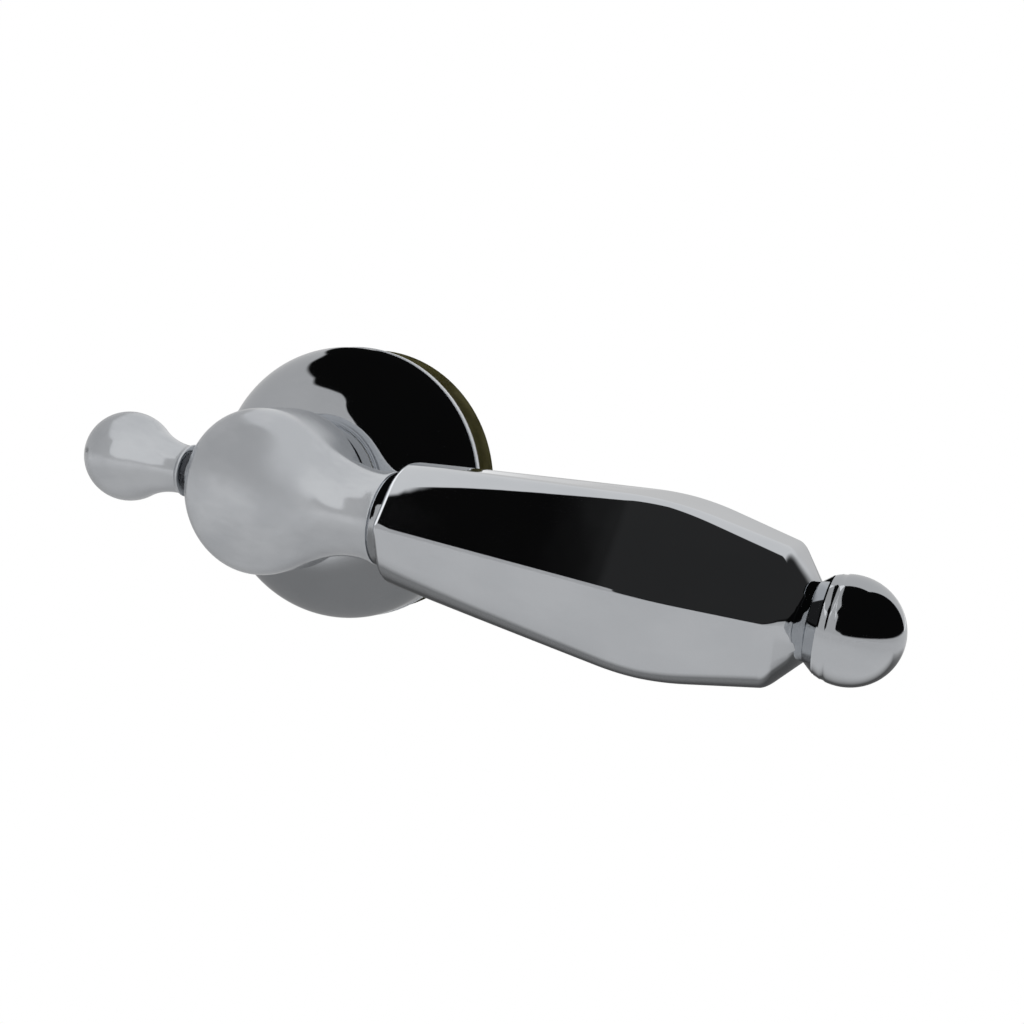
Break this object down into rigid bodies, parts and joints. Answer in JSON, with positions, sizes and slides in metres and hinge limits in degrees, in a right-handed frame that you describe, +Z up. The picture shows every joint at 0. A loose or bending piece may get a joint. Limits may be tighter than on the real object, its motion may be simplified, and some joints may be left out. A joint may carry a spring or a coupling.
{
  "type": "cistern lever",
  "caption": "Chromed cistern flush lever: round hub with a six-sided tapered grip and ball ends on a sprung spindle, with a domed escutcheon, rubber gasket and threaded wall shank.",
  "frame": {"origin": "on the spindle axis, where the gasket's back face meets the cistern wall", "axes": "+X along the handle, +Y into the cistern along the spindle, +Z up"},
  "size_m": [0.127, 0.0895, 0.0448],
  "materials": {
    "chrome_plate": "polished chrome plate",
    "olive_rubber": "matt olive-brown rubber",
    "black_rubber": "matt black rubber",
    "nylon": "natural nylon",
    "brass": "turned brass",
    "bright_steel": "bright zinc-plated steel",
    "spring_steel": "drawn spring wire",
    "dark_steel": "blackened steel"
  },
  "bodies": {
    "mounting": {"gasket": "olive_rubber", "escutcheon": "chrome_plate", "shank": "chrome_plate", "stop_pin": "bright_steel", "front_bush": "nylon", "rear_bush": "nylon", "inner_seal": "black_rubber", "inner_washer": "brass", "lock_nut": "brass", "return_spring": "spring_steel"},
    "lever": {"lever_hub": "chrome_plate", "side_finial": "chrome_plate", "grip": "chrome_plate", "end_finial": "chrome_plate", "tie_rod": "bright_steel", "spindle": "brass", "grub_screw": "dark_steel", "clip_washer": "bright_steel", "retaining_clip": "bright_steel"}
  },
  "joints": [
    {"name": "lever_turn", "type": "hinge", "parent": "mounting", "child": "lever", "pos_m": [0, 0, 0], "axis": [0, 1, 0], "range_deg": [0, 35], "stiffness_Nm_per_rad": 0.136, "springref_deg": -63.03, "deforming": ["return_spring"]}
  ]
}
